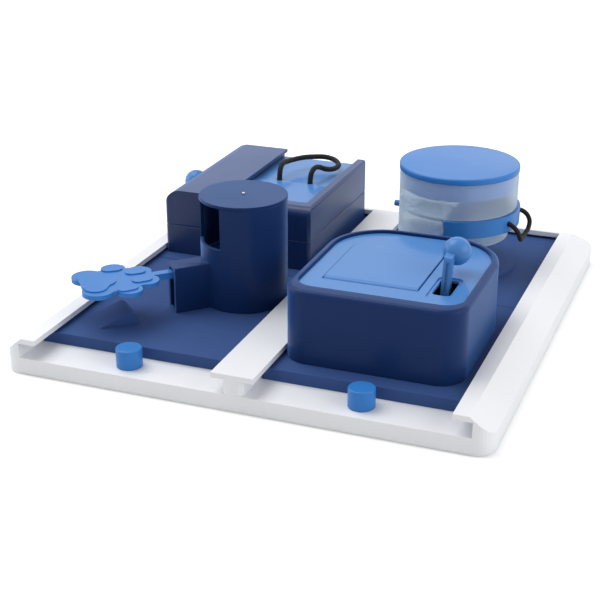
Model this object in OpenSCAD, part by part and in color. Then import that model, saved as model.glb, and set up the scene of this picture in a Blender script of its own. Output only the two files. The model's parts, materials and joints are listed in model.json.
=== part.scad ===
// Dog puzzle feeder: a board with grooved rails that takes four treat modules.
// Units are millimetres. X runs along the front edge, Y to the back, Z up.
// The origin is the centre of the board on the surface that it stands on.

/* [Board] */
// Width of the board
board_w = 320; // [310:1:350]
// Depth of the board
board_d = 333; // [325:1:360]
// Radius of the board's upright corners
board_corner_r = 11; // [6:1:14]
// Gap under the board's skirt, which the rubber feet leave
foot_gap = 1; // [0.5:0.1:1.5]
// Height of the floor that the modules slide on
floor_h = 11.5; // [10:0.5:13]
// Thickness of the floor
floor_t = 2.5; // [2:0.1:3.5]
// Thickness of the board's outer skirt
skirt_t = 3; // [2.2:0.1:4]
// Height of the outer side walls, where the rail's slope ends
rim_h = 13.5; // [12.5:0.5:15]
// Height of the rails
rail_h = 25; // [24:0.5:28]
// Thickness of the lips over the grooves
lip_t = 3.5; // [2.5:0.1:4.5]
// Distance from the board's side to the lip's inner edge
side_rail_w = 24; // [22:0.5:27]
// Distance from the board's back to the lip's inner edge
back_rail_w = 18; // [17:0.5:21]
// Width of the sloped outer face of the rails
slope_w = 14; // [12:0.5:15]
// Thickness of rail left beside each groove, at the floor
rail_wall = 12; // [11:0.5:13]
// Width of the middle rail's top
tee_w = 28; // [24:1:32]
// Width of the middle rail's stem
tee_stem_w = 14; // [12:1:16]
// Depth of the open ledge in front of the modules
ledge_d = 28; // [24:1:30]
// Thickness of the stiffening ribs below
rib_t = 1.8; // [1.4:0.1:2.4]
// Diameter of the rubber feet
foot_d = 14; // [10:1:18]
// Thickness of the rubber feet
foot_t = 2.8; // [2.4:0.1:3.6]
// Distance of the feet from the board's sides
foot_inset = 26; // [20:1:34]

/* [Locking pegs] */
// Diameter of a peg's head
peg_d = 16.8; // [14:0.2:19]
// Height of a peg's head over the floor
peg_h = 12.6; // [10:0.2:15]
// Diameter of a peg's stem
peg_stem_d = 8; // [6:0.5:10]
// Distance of the pegs from the board's middle
peg_x = 77; // [60:1:95]
// Distance of the pegs from the board's front edge
peg_y = 15.5; // [14:0.5:17]

/* [Module plates] */
// Thickness of the module plates
plate_h = 7.8; // [7:0.1:8.6]
// Thickness of a plate's skin
plate_t = 2.3; // [1.8:0.1:3]
// Play of a plate in its grooves
plate_fit = 0.8; // [0.4:0.1:1.5]
// Gap between the front and the rear plates
plate_gap = 0.5; // [0.3:0.1:1.5]
// Play of the flap box in its bay, from side to side
box_play = 7; // [5:0.5:9]

/* [Tower module] */
// Radius of the tower's wall
tower_r = 29.6; // [28:0.2:31]
// Wall of the tower
tower_t = 2.2; // [1.8:0.1:2.8]
// Height of the tower's top over the board's base
tower_top = 94.4; // [90:0.2:100]
// Thickness of the tower's cap
cap_t = 2.2; // [1.8:0.1:3]
// How far the cap stands out over the tower's wall
cap_over = 0.4; // [0.2:0.1:1]
// Gap between the tower and the middle rail
tower_side_gap = 1.2; // [1:0.1:4]
// Distance of the tower's axis from the rear edge of its plate
tower_back = 47.4; // [45:0.2:52]
// Width of the treat window
window_w = 31; // [26:1:35]
// Turn of the window from the lever's direction
window_turn = 3.5; // [0:0.5:5]
// Height of the window's sill over the board's base
sill_h = 63.3; // [63:0.1:68]
// Width of the lever box
lever_box_w = 15.5; // [14:0.1:16.5]
// Distance of the lever box's end from the tower's axis
lever_box_end = 52.6; // [50:0.1:55]
// Height of the lever box's top over the board's base
lever_box_top = 51.4; // [51.2:0.1:54]
// Wall of the lever box
lever_box_t = 2.2; // [1.8:0.1:2.4]
// Angle through which the paw can be pressed
press_angle = 15; // [12:0.5:15.5]

/* [Paw lever] */
// Distance of the lever's pin from the tower's axis
pivot_s = 44; // [43:0.2:45]
// Height of the lever's pin over the board's base
pivot_h = 46; // [45.5:0.1:46.2]
// Radius of the lever's hub
lever_hub_r = 2.8; // [2.6:0.1:2.9]
// Width of the lever's stem
stem_w = 6; // [5:0.2:6.4]
// Height of the lever's stem
stem_h = 4.6; // [4:0.1:5]
// Thickness of the paw
paw_t = 3; // [2.6:0.1:3.4]
// Height of the raised pads on the paw
pad_t = 0.8; // [0.5:0.1:1.2]
// Length from the pin to the tips that lift the platform
lift_arm = 44.7; // [44:0.1:45.4]
// Radius of the lifting tips
tip_r = 2.5; // [2:0.1:3]
// Diameter of the hinge pins
pin_d = 3; // [2.6:0.1:3.2]
// Radial clearance of a pin in its bore
pin_fit = 0.05; // [0.03:0.01:0.09]
// Diameter of the screws that hold the modules on their plates
screw_d = 2.6; // [2:0.1:3]
// Width of the wedge that stops the paw
wedge_w = 23; // [16:0.5:26]
// Distance of the wedge's outer edge from the tower's axis
wedge_s = 107.5; // [106:0.5:109]
// Slope of the wedge
wedge_angle = 20.5; // [19:0.5:22]
// Height of the wedge over its plate
wedge_h = 8.8; // [8:0.1:9]

/* [Lift platform] */
// Thickness of the platform
platform_t = 3; // [2.4:0.1:3.4]
// Clearance of the platform in the tower
platform_fit = 0.5; // [0.4:0.1:1]
// Diameter of the platform's guide post
post_d = 8; // [7:0.2:8.6]

/* [Flap box module] */
// Height of the flap box's rim over the board's base
flap_box_top_h = 68; // [66:0.5:72]
// Wall of the flap box
flap_box_t = 3.4; // [2.6:0.1:3.8]
// Radius of the flap box's front corners
flap_box_rf = 17; // [14:0.5:20]
// Radius of the flap box's rear corners
flap_box_rb = 40; // [36:1:44]
// Distance of the flap box from the front edge of its plate
flap_box_front = 13; // [11:0.5:14]
// Distance of the flap box from the rear edge of its plate
flap_box_back = 6.4; // [4:0.1:9]
// Gap between the flap box and the middle rail
flap_box_gap = 0.5; // [0.3:0.1:2]
// Depth of the inset top below the rim
inset_drop = 2; // [1:0.1:3]
// Thickness of the inset top
inset_t = 3; // [2.4:0.1:3.4]
// Width of the rim round the inset top
rim_w = 4.6; // [4.4:0.1:6]
// Width of that rim at the front
rim_front_w = 10.5; // [6:0.5:11.5]
// Gap round the flap
flap_gap = 0.6; // [0.4:0.1:0.9]
// Distance of the flap from the box's left side
flap_left = 17.5; // [17:0.1:18.5]
// Distance of the flap's front edge from the box's front
flap_front = 30.1; // [29:0.1:31]
// Distance of the flap's round end from the box's back
flap_back = 9.3; // [8.5:0.1:11]
// Gap between the flap and the recess of the ball lever
flap_slot_gap = 6.7; // [6:0.1:8]
// Height of the flap over the inset top
flap_proud = 0.8; // [0.6:0.1:1.4]

/* [Ball lever] */
// Distance of the lever's slot from the box's right side
slot_side = 22.2; // [21.6:0.1:23.4]
// Width of the recess round the slot
slot_w = 15.3; // [14.6:0.1:16]
// Distance of the recess from the box's front
slot_front = 22.5; // [21.5:0.5:23]
// Length of the recess
slot_len = 36; // [35.5:0.5:37.5]
// Depth of the recess
slot_sink = 1; // [0.6:0.1:1.2]
// Width of the recess beside the slot
slot_edge = 1.8; // [1.4:0.1:2.2]
// Length of the recess in front of the slot
slot_step = 8.5; // [7:0.5:8.5]
// Height of the ball lever's pin over the board's base
ball_pivot_h = 40; // [39:0.2:41]
// Distance of the ball lever's pin from the box's front
ball_pivot_y = 30.5; // [30:0.1:31]
// How far the ball's middle lies behind the lever's pin
ball_reach = 37.5; // [36.5:0.5:38.5]
// How far the ball's middle lies over the lever's pin
ball_rise = 40.5; // [40:0.5:41.5]
// Diameter of the ball grips
ball_d = 18; // [17:0.2:19]
// Width of the ball lever's arm
arm_w = 5.6; // [5:0.1:7]
// Thickness of the ball lever's arm
arm_t = 5; // [4.4:0.1:5.2]
// How far the arm stands off the slot's middle
arm_shift = 2; // [1:0.1:2.5]

/* [Drawer box module] */
// Play of the drawer box in its bay, from side to side
drawer_box_play = 7.3; // [6:0.1:9]
// Gap between the drawer box and the left rail
drawer_box_gap = 1; // [0.6:0.1:1.4]
// Distance of the drawer box from the front edge of its plate
drawer_box_front = 12.2; // [8:0.1:14]
// Height of the drawer box's cover over the board's base
drawer_box_top_h = 68.5; // [68:0.5:71]
// Height of the seam between base and cover over the board's base
seam_h = 41.5; // [40:0.5:42]
// Walls of the drawer box
drawer_box_t = 2.6; // [2.2:0.1:3]
// Radius of the cover's rounded left edge
cover_r = 13; // [10:0.5:13.5]
// Width of the cover's closed part
cover_w = 47.5; // [46:0.5:50]
// Radius of the drawer box's upright corners
box_corner_r = 3; // [2:0.1:4]
// Width of the top of the right wall
wall_top_w = 7.3; // [6:0.1:8]
// Radius of the right wall's rounded top edge
wall_soft = 2.6; // [2:0.1:3]
// Thickness of the sliding lid
lid_t = 2.6; // [2.2:0.1:3]
// Height of the sliding lid's top over the board's base
lid_top_h = 63; // [62:0.2:63.4]
// Depth of the fixed strip in front of the sliding lid
lid_front = 14; // [12:0.5:16]
// Diameter of the pull ropes
rope_d = 4; // [3.6:0.1:4.4]
// Distance between the ends of the sliding lid's rope
lid_rope_gap = 25; // [24:1:26]
// Distance of the sliding lid's rope from the box's front
lid_rope_y = 69; // [66:1:72]
// Distance of the side drawer from the box's front
drawer_y = 35; // [33:1:36]
// Distance of the side drawer from the box's back
drawer_back = 6; // [5.5:0.5:10]

/* [Drum module] */
// Radius of the drum
drum_r = 42.5; // [41:0.5:44]
// Wall of the drum
drum_t = 2; // [1.6:0.1:2.4]
// Height of the drum's wall over the board's base
drum_h = 91; // [89:0.2:95]
// Radius of the drum's foot under the tray
drum_foot_r = 37; // [35:0.5:38]
// Radius of the disc under the drum
drum_disc_r = 43.5; // [43:0.5:46]
// Thickness of that disc
disc_t = 2; // [1.4:0.1:2.6]
// How far the drum stands off the middle of its bay, to the left
drum_shift_x = 2.5; // [0:0.5:4]
// How far the drum stands off the middle of its plate, to the front
drum_shift_y = 1.8; // [0:0.2:3]
// Radius of the drum's lid
drum_lid_r = 43; // [42.6:0.1:44.6]
// Thickness of the lid's rim
drum_lid_t = 4.2; // [3.4:0.1:5]
// Depth of the lid's plug in the drum
plug_d = 13; // [8:0.5:13.5]
// Height of the tray's underside over the board's base
tray_z = 53; // [52:0.2:54]
// Height of the tray
tray_h = 12; // [11:0.2:12.6]
// Radius of the tray's front
tray_r = 44.8; // [44.2:0.1:46]
// Wall of the tray
tray_t = 2.2; // [1.8:0.1:2.4]
// Diameter of the tray's push rod
rod_d = 4.5; // [4:0.1:5]
// Diameter of the tray's pull cord
tray_rope_d = 3.4; // [3:0.1:3.8]
// Half of the angle between the ends of the tray's rope
tray_rope_angle = 22; // [20:1:25]
// Height of the foot's lower edge over the board's base
foot_low = 43; // [40:0.5:45]

/* [Hidden] */
$fn = 96;

over = 1;         // how far a cutter runs past the face that it opens
slide_fit = 0.35; // play between pieces that slide on each other
seat_gap = 0.1;   // gap under a piece that can be lifted off

// Colours of the finished pieces
white = [0.90, 0.91, 0.93];
navy = [0.13, 0.19, 0.36];
sky = [0.42, 0.62, 0.85];
blue = [0.17, 0.45, 0.78];
frosted = [0.86, 0.90, 0.95, 0.6];
black = [0.08, 0.08, 0.09];
steel = [0.7, 0.7, 0.72];

// Screws that come up through the plates
screw_head_d = 5;
screw_head_h = 1.6;
screw_len = 9;
boss_r = 3.4;

// Board
half_w = board_w / 2;
half_d = board_d / 2;
lip_x = half_w - side_rail_w;
lip_y = half_d - back_rail_w;
lip_z = rail_h - lip_t;
groove_x = half_w - rail_wall;
groove_y = half_d - rail_wall;
bay_w = lip_x - tee_w / 2;
bay_x = (tee_w / 2 + lip_x) / 2;
foot_x = half_w - foot_inset;
foot_y = half_d - foot_inset;
peg_cy = -half_d + peg_y;
peg_fit = 0.3;

// Module plates
plate_x0 = tee_stem_w / 2 + plate_fit;
plate_x1 = groove_x - plate_fit;
plate_w = plate_x1 - plate_x0;
plate_cx = (plate_x0 + plate_x1) / 2;
plate_y0 = -half_d + ledge_d;
plate_y1 = groove_y - plate_fit;
plate_len = (plate_y1 - plate_y0 - plate_gap) / 2;
front_cy = plate_y0 + plate_len / 2;
rear_cy = plate_y1 - plate_len / 2;
deck = floor_h + plate_h;
skin_z = deck - plate_t;

// Tower module. Its lever points along lever_dir; s runs out along it from the tower's axis.
lever_dir = -135;
tower_x = -(tee_w / 2 + tower_side_gap + tower_r + cap_over);
tower_y = plate_y0 + plate_len - tower_back;
tube_top = tower_top - cap_t;
tower_in = tower_r - tower_t;
lever_box_in = lever_box_w - 2 * lever_box_t;
half_press = press_angle / 2;
tip_drop = lift_arm * sin(half_press);
tip_in = lift_arm * cos(half_press);
lift = 2 * tip_drop;
arm_drop = 9.5;
arm_bar_r = 2;
tip_gap = 0.3;
fork_gap = post_d + 2;
fork_w = fork_gap + 8;
platform_z = pivot_h - tip_drop + tip_r + tip_gap;
hub_r = 11;
hub_h = 4.8;
guide_r = post_d / 2 + 0.4;
guide_h = 13.6;
post_bottom = floor_h + 1.5;
paw_under = pivot_h - paw_t / 2;
pin_skin = 0.8;
// Outline of the paw: places along the lever and off its middle line, and radii
inner_toe = [72.8, 8.2];
inner_toe_r = 8.6;
toe_web = [80, 9.8];
toe_web_r = 7;
outer_toe = [87.3, 19.4];
outer_toe_r = 8.2;
palm_s = 95;
palm_r = 19.4;
heel = [106.8, 13];
heel_r = 10.5;
inner_pad = [75.5, 7.4];
outer_pad = [88.4, 18.2];
toe_pad_len = 14;
toe_pad_r = 4.4;
heel_pad = [107.5, 9.8];
heel_pad_r = 7.4;
heel_pad_s = 100.5;
heel_pad_mid_r = 9.2;
// Rib below the paw, which the wedge stops; stop_drop puts it on the slope as the paw is pressed
stop_r = 1.5;
stop_gap = 0.4;
stop_arm = 46;
stop_drop = (pivot_h - stop_arm * sin(press_angle) - deck - (stop_r + stop_gap) / cos(wedge_angle)
             - (wedge_s - pivot_s - stop_arm * cos(press_angle)) * tan(wedge_angle))
          / (cos(press_angle) + sin(press_angle) * tan(wedge_angle));
// Arm between the hub, the fork and the tips
arm_near = 14;
arm_far = 33;

// Flap box module
flap_box_w = bay_w - box_play;
flap_box_d = plate_len - flap_box_front - flap_box_back;
flap_box_x = tee_w / 2 + flap_box_gap + flap_box_w / 2;
flap_box_y0 = plate_y0 + flap_box_front;
flap_box_y = flap_box_y0 + flap_box_d / 2;
flap_box_x0 = flap_box_x - flap_box_w / 2;
flap_box_x1 = flap_box_x + flap_box_w / 2;
inset_z1 = flap_box_top_h - inset_drop;
inset_z0 = inset_z1 - inset_t;
flap_w = flap_box_w - flap_left - slot_side - slot_w / 2 - flap_slot_gap;
flap_d = flap_box_d - flap_front - flap_back;
flap_x0 = flap_box_x0 + flap_left;
flap_x1 = flap_x0 + flap_w;
flap_y0 = flap_box_y0 + flap_front;
flap_t = 2.5 + flap_proud;
flap_z1 = inset_z1 + flap_proud;
flap_z0 = flap_z1 - flap_t;
flap_axis_y = flap_y0 + flap_t;
flap_pin_r = 1.2;
lug_w = 4;
slot_x = flap_box_x1 - slot_side;
slot_y0 = flap_box_y0 + slot_front;
slot_r = 4;
ball_y = flap_box_y0 + ball_pivot_y;
arm_x = slot_x - arm_shift;
arm_knee = [20, 16];
arm_top = [26, 38.5];
finger_w = 6;
finger_r = 3;
finger_x1 = flap_x1 - 1;
finger_x0 = finger_x1 - finger_w;
ball_hub_r = 5;
ball_hub_x0 = finger_x0 - 0.4;
ball_hub_x1 = slot_x + slot_w / 2;
post_t = 3;
finger_tip = [35, flap_z0 - 0.5 - finger_r - ball_pivot_h];
finger_bend = [20, -2];
cup_t = 1.8;
cup_x0 = flap_x0 + 2;
cup_x1 = finger_x0 - 3;
cup_y0 = ball_y + ball_hub_r + 4;
cup_y1 = flap_y0 + flap_d - flap_w / 4;
cup_h = 60;
cup_floor = 32;

// Drawer box module
drawer_box_w = bay_w - drawer_box_play;
drawer_box_x0 = -lip_x + drawer_box_gap;
drawer_box_x1 = drawer_box_x0 + drawer_box_w;
drawer_box_x = (drawer_box_x0 + drawer_box_x1) / 2;
drawer_box_y0 = plate_y1 - plate_len + drawer_box_front;
drawer_box_y1 = lip_y - 0.5;
drawer_box_d = drawer_box_y1 - drawer_box_y0;
drawer_box_y = (drawer_box_y0 + drawer_box_y1) / 2;
drawer_w = drawer_box_d - drawer_y - drawer_back;
cover_x1 = drawer_box_x0 + cover_w;
cover_t = 2.4;
divider_x = cover_x1 - 2.5;
divider_t = 2;
lid_z0 = lid_top_h - lid_t;
lid_x0 = divider_x + slide_fit;
lid_x1 = drawer_box_x1 - drawer_box_t - slide_fit;
lid_cx = (lid_x0 + lid_x1) / 2 - 2;
lid_y0 = drawer_box_y0 + lid_front;
side_top = drawer_box_top_h - 2;
lid_lip = wall_top_w - drawer_box_t;
deck_t = 2;
rope_hole_r = rope_d / 2 + 0.3;
tray_hole_r = tray_rope_d / 2 + 0.3;
lid_rope_cy = drawer_box_y0 + lid_rope_y;
knot_r = 3.6;
knot_h = 5.4;
drawer_z0 = seam_h + slide_fit;
drawer_h = 14.6;
drawer_t = 1.8;
drawer_y0 = drawer_box_y0 + drawer_y;
drawer_y1 = drawer_y0 + drawer_w;
drawer_x1 = divider_x - divider_t - 1.5;
knob_neck_r = 3;
knob_neck = 3;
knob_z = 49.6;

// Drum module
drum_x = bay_x - drum_shift_x;
drum_y = rear_cy - drum_shift_y;
drum_in = drum_r - drum_t;
drum_z0 = deck + disc_t;
tray_top = tray_z + tray_h;
drum_floor_t = 2;
cone_h = 5.6;
rod_z = tray_z + tray_h / 2 - 0.3;
rod_out = 5;
sleeve_t = 1.6;
sleeve_len = 30;
tray_x0 = drum_x + 1.5;
drum_lid_z = drum_h + seat_gap;
plug_r = drum_in - slide_fit;

// Places of each module's screws
tower_screw_places = [for (a = [60, 180, 300]) [tower_x, tower_y] + (tower_r - tower_t - boss_r + 1)
                      * [cos(lever_dir + a), sin(lever_dir + a)]];
flap_box_screw_y = [flap_box_rf - flap_box_d / 2 + 12, flap_box_d / 2 - flap_box_rb - 12];
flap_box_screw_places = [for (x = [-1, 1], y = flap_box_screw_y) [flap_box_x, flap_box_y]
                         + [x * (flap_box_w / 2 - flap_box_t - boss_r + 1), y]];
drawer_box_screw_places = [for (x = [-1, 1], y = [-1, 1]) [drawer_box_x, drawer_box_y]
                           + [x * (drawer_box_w / 2 - drawer_box_t - boss_r + 1),
                              y * (drawer_box_d / 2 - drawer_box_t - boss_r + 1)]];
drum_screw_places = [for (a = [120, 180, 240]) [drum_x, drum_y] + (drum_in - boss_r + 1) * [cos(a), sin(a)]];

// Routes of the ropes, chosen by hand: round numbers from each module's own middle
lid_rope_route = [[-12.5, 0, -lid_t - 1], [-12.5, 0, -0.5], [-12.7, 1.8, 6], [-12.9, 5.5, 9.3],
                  [-13.1, 10.6, 9.9], [-12.5, 17.1, 9], [-9.9, 25.1, 8.6], [-4.9, 33.2, 8.4],
                  [1.7, 39.8, 7.8], [9.6, 43.2, 7.4], [18, 41.6, 6.2], [23.2, 35, 4.6],
                  [22.4, 26.2, 4.2], [18.9, 18.4, 5.8], [15.5, 11.8, 9], [13.9, 6.1, 9.5],
                  [12.8, 1.8, 6.3], [12.5, 0, -0.5], [12.5, 0, -lid_t - 1]];
tray_rope_route = [[38.3, -15.5, 0], [41.4, -16.7, 0], [44.9, -17.6, -1.3], [47.8, -17.6, -4],
                   [49.5, -16.2, -7.9], [49.7, -12.3, -12], [49.2, -6.5, -14], [49, 0, -14.6],
                   [49.2, 6.5, -14], [50, 12.3, -12], [50, 16.1, -7.8], [48, 17.6, -4],
                   [44.9, 17.6, -1.3], [41.4, 16.7, 0], [38.3, 15.5, 0]];

// ---- Helpers -------------------------------------------------------------

// Rectangle with round corners, about its middle
module rounded(w, d, r) {
    square([w - 2 * r, d], center = true);
    square([w, d - 2 * r], center = true);
    for (x = [-1, 1], y = [-1, 1])
        translate([x * (w / 2 - r), y * (d / 2 - r)]) circle(r);
}

// Rectangle whose rear corners are rounder than its front ones
module rounded_pair(w, d, rf, rb) {
    square([w - 2 * rb, d], center = true);
    translate([0, (rf - rb) / 2]) square([w, d - rf - rb], center = true);
    translate([0, -d / 4]) square([w - 2 * rf, d / 2], center = true);
    for (x = [-1, 1]) {
        translate([x * (w / 2 - rf), -d / 2 + rf]) circle(rf);
        translate([x * (w / 2 - rb), d / 2 - rb]) circle(rb);
    }
}

// Part of a disc on the side of +X, from a straight edge at x
module half_disc(r, x = 0) {
    intersection() {
        circle(r);
        translate([x, -r - over]) square([r, 2 * (r + over)]);
    }
}

// Upright ring
module tube(outer, inner, z0, z1) {
    translate([0, 0, z0]) difference() {
        cylinder(r = outer, h = z1 - z0);
        translate([0, 0, -over]) cylinder(r = inner, h = z1 - z0 + 2 * over);
    }
}

// Box from its lowest and highest corners
module box(lo, hi) {
    translate(lo) cube(hi - lo);
}

// Profile drawn in Y and Z, extruded along X from x0 to x1
module along_x(x0, x1) {
    translate([x0, 0, 0]) rotate([90, 0, 90]) linear_extrude(x1 - x0) children();
}

// Profile drawn in X and Z, extruded along Y from y0 to y1
module along_y(y0, y1) {
    translate([0, y1, 0]) rotate([90, 0, 0]) linear_extrude(y1 - y0) children();
}

// Bar with round ends between two points of a plane
module bar(a, b, r) {
    d = b - a;
    translate(a) circle(r);
    translate(b) circle(r);
    translate(a) rotate(atan2(d[1], d[0])) translate([0, -r]) square([norm(d), 2 * r]);
}

// Puts a piece that is drawn along +X into the tower's frame
module at_tower() {
    translate([tower_x, tower_y, 0]) rotate(lever_dir) children();
}

module at_flap_box() {
    translate([flap_box_x, flap_box_y, 0]) children();
}

module at_drum() {
    translate([drum_x, drum_y, 0]) children();
}

// Points of a smooth curve through a route, with some steps between its points
function spline_at(a, b, c, d, t) = 0.5 * (2 * b + (c - a) * t + (2 * a - 5 * b + 4 * c - d) * t * t
                                    + (3 * b - a - 3 * c + d) * t * t * t);
function smooth_route(p, steps) = [
    for (i = [0:len(p) - 2], k = [0:steps - 1])
        spline_at(p[max(i - 1, 0)], p[i], p[i + 1], p[min(i + 2, len(p) - 1)], k / steps),
    p[len(p) - 1]];
function unit(v) = v / norm(v);
function square_to(n, t) = unit(n - t * (n * t));
function tangents(p) = [for (i = [0:len(p) - 1]) unit(p[min(i + 1, len(p) - 1)] - p[max(i - 1, 0)])];
function normals(t, start) = [for (i = 0, n = square_to(start, t[0]); i < len(t);
                                   i = i + 1, n = i < len(t) ? square_to(n, t[i]) : n) n];

// Round cord swept along a route
module cord(route, r, sides, steps, start) {
    p = smooth_route(route, steps);
    t = tangents(p);
    n = normals(t, start);
    last = len(p) - 1;
    points = [for (i = [0:last], k = [0:sides - 1])
        p[i] + r * (cos(360 * k / sides) * n[i] + sin(360 * k / sides) * cross(t[i], n[i]))];
    sides_faces = [for (i = [0:last - 1], k = [0:sides - 1])
        [i * sides + k, (i + 1) * sides + k, (i + 1) * sides + (k + 1) % sides,
         i * sides + (k + 1) % sides]];
    polyhedron(points, concat(sides_faces, [[for (k = [0:sides - 1]) k]],
               [[for (k = [sides - 1:-1:0]) last * sides + k]]));
}

// ---- Board ---------------------------------------------------------------

module rail_slope() {
    polygon([[-slope_w, rail_h], [0, rim_h], [over, rim_h], [over, rail_h + over],
             [-slope_w, rail_h + over]]);
}

module tray_body() {
    difference() {
        translate([0, 0, foot_gap])
            linear_extrude(rail_h - foot_gap) rounded(board_w, board_d, board_corner_r);
        for (side = [0, 1])
            mirror([side, 0, 0]) translate([half_w, 0, 0])
                along_y(-half_d - over, half_d + over) rail_slope();
        translate([0, half_d, 0]) along_x(-half_w - over, half_w + over) rail_slope();
        box([-lip_x, -half_d - over, floor_h], [lip_x, lip_y, rail_h + over]);
        box([-groove_x, -half_d - over, floor_h], [groove_x, groove_y, lip_z]);
    }
}

module middle_rail() {
    box([-tee_w / 2, -half_d, lip_z], [tee_w / 2, lip_y + over, rail_h]);
    stem_r = tee_stem_w / 3;
    translate([0, 0, floor_h - over]) linear_extrude(lip_z - floor_h + 2 * over) {
        translate([-tee_stem_w / 2, -half_d + stem_r])
            square([tee_stem_w, groove_y + half_d - stem_r + over]);
        translate([-tee_stem_w / 2 + stem_r, -half_d]) square([tee_stem_w - 2 * stem_r, stem_r]);
        for (x = [-1, 1])
            translate([x * (tee_stem_w / 2 - stem_r), -half_d + stem_r]) circle(stem_r);
    }
}

module foot_places() {
    for (x = [-1, 1], y = [-1, 1]) translate([x * foot_x, y * foot_y, 0]) children();
}

module peg_places() {
    for (x = [-1, 1]) translate([x * peg_x, peg_cy, 0]) children();
}

// Outline of the hollow below the floor, shrunk by a gap
module underside_outline(gap) {
    rounded(board_w - 2 * (skirt_t + gap), board_d - 2 * (skirt_t + gap), board_corner_r - skirt_t);
}

module underside() {
    difference() {
        translate([0, 0, foot_gap - over])
            linear_extrude(floor_h - floor_t - foot_gap + over) underside_outline(0);
        foot_places() translate([0, 0, foot_gap]) cylinder(d = foot_d + 4, h = floor_h);
        peg_places() translate([0, 0, foot_gap + 1]) cylinder(d = peg_stem_d + 5, h = floor_h);
    }
}

// Grid of ribs that stiffens the floor from below
module floor_ribs() {
    bay = 53;
    color(white) translate([0, 0, foot_gap]) linear_extrude(floor_h - floor_t - foot_gap) intersection() {
        underside_outline(seat_gap);
        union() {
            for (i = [-2:2]) {
                translate([i * bay - rib_t / 2, -half_d]) square([rib_t, board_d]);
                translate([-half_w, i * bay - rib_t / 2]) square([board_w, rib_t]);
            }
        }
    }
}

module base_tray() {
    color(white) difference() {
        union() {
            tray_body();
            middle_rail();
        }
        underside();
        foot_places() translate([0, 0, foot_gap - over]) cylinder(d = foot_d, h = foot_t + over - foot_gap);
        peg_places() translate([0, 0, foot_gap - over])
            cylinder(r = peg_stem_d / 2 + peg_fit, h = floor_h + 2 * over);
    }
}

module rubber_feet() {
    color(black) foot_places() cylinder(d = foot_d, h = foot_t);
}

module lock_peg() {
    soft = 1;
    translate([0, 0, floor_h + seat_gap]) {
        rotate_extrude() {
            square([peg_d / 2, peg_h - soft]);
            square([peg_d / 2 - soft, peg_h]);
            translate([peg_d / 2 - soft, peg_h - soft]) circle(soft);
        }
    }
    translate([0, 0, foot_gap + 1]) cylinder(d = peg_stem_d, h = floor_h - foot_gap);
}

module lock_peg_left() {
    color(blue) translate([-peg_x, peg_cy, 0]) lock_peg();
}

module lock_peg_right() {
    color(blue) translate([peg_x, peg_cy, 0]) lock_peg();
}

// ---- Screws --------------------------------------------------------------

module screws(places) {
    for (p = places) translate([p[0], p[1], 0]) {
        cylinder_from(screw_head_d / 2, skin_z - screw_head_h, skin_z);
        cylinder_from(screw_d / 2, skin_z - over, deck + screw_len);
    }
}

// Space that the screws need in a plate and in the bosses over it
module screw_bores(places) {
    for (p = places) translate([p[0], p[1], 0]) {
        cylinder_from(screw_head_d / 2 + 0.4, floor_h - over, skin_z);
        cylinder_from(screw_d / 2 + pin_fit, skin_z - over, deck + screw_len + 0.5);
    }
}

module bosses(places, z0 = deck) {
    for (p = places) translate([p[0], p[1], 0]) cylinder_from(boss_r, z0, deck + screw_len + 2);
}

module tower_screws() {
    color(steel) screws(tower_screw_places);
}

module flap_box_screws() {
    color(steel) screws(flap_box_screw_places);
}

module drawer_box_screws() {
    color(steel) screws(drawer_box_screw_places);
}

module drum_screws() {
    color(steel) screws(drum_screw_places);
}

// ---- Module plates -------------------------------------------------------

// Hollow plate about its own middle, with ribs below
module plate() {
    cells_x = 4;
    cells_y = 4;
    cell_w = (plate_w - plate_t) / cells_x - plate_t;
    cell_d = (plate_len - plate_t) / cells_y - plate_t;
    difference() {
        translate([0, 0, floor_h]) linear_extrude(plate_h) rounded(plate_w, plate_len, 1.2);
        for (i = [0:cells_x - 1], j = [0:cells_y - 1])
            translate([-plate_w / 2 + plate_t + i * (cell_w + plate_t),
                       -plate_len / 2 + plate_t + j * (cell_d + plate_t), floor_h - over])
                cube([cell_w, cell_d, plate_h - plate_t + over]);
    }
}

module wedge_profile() {
    rise = tan(wedge_angle);
    top_s = wedge_s - wedge_h / rise;
    intersection() {
        polygon([[wedge_s + over / rise, -over], [top_s - wedge_h, -over],
                 [top_s - wedge_h, (wedge_s - top_s + wedge_h) * rise]]);
        union() {
            translate([top_s + wedge_h / 2, 0]) circle(wedge_h);
            translate([top_s + wedge_h / 2, -over]) square([wedge_s, wedge_h + over]);
        }
    }
}

module tower_plate() {
    color(navy) difference() {
        union() {
            translate([-plate_cx, front_cy, 0]) plate();
            at_tower() {
                cylinder_from(post_d / 2 + 2.4, deck - over, deck + guide_h);
                along_y(-wedge_w / 2, wedge_w / 2) translate([0, deck]) wedge_profile();
            }
        }
        at_tower() translate([0, 0, floor_h - over])
            cylinder(r = guide_r, h = plate_h + guide_h + 2 * over);
        screw_bores(tower_screw_places);
    }
}

// Upright cylinder between two heights
module cylinder_from(r, z0, z1) {
    translate([0, 0, z0]) cylinder(r = r, h = z1 - z0);
}

// ---- Tower module --------------------------------------------------------

module tower_shell() {
    slot_half = stem_w / 2 + 0.5;
    box_roof = lever_box_top - lever_box_t;
    color(navy) difference() {
        union() {
            tower_walls(slot_half, box_roof);
            intersection() {
                bosses(tower_screw_places);
                at_tower() cylinder_from(tower_r - 1, deck, tube_top);
            }
        }
        screw_bores(tower_screw_places);
    }
}

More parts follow.
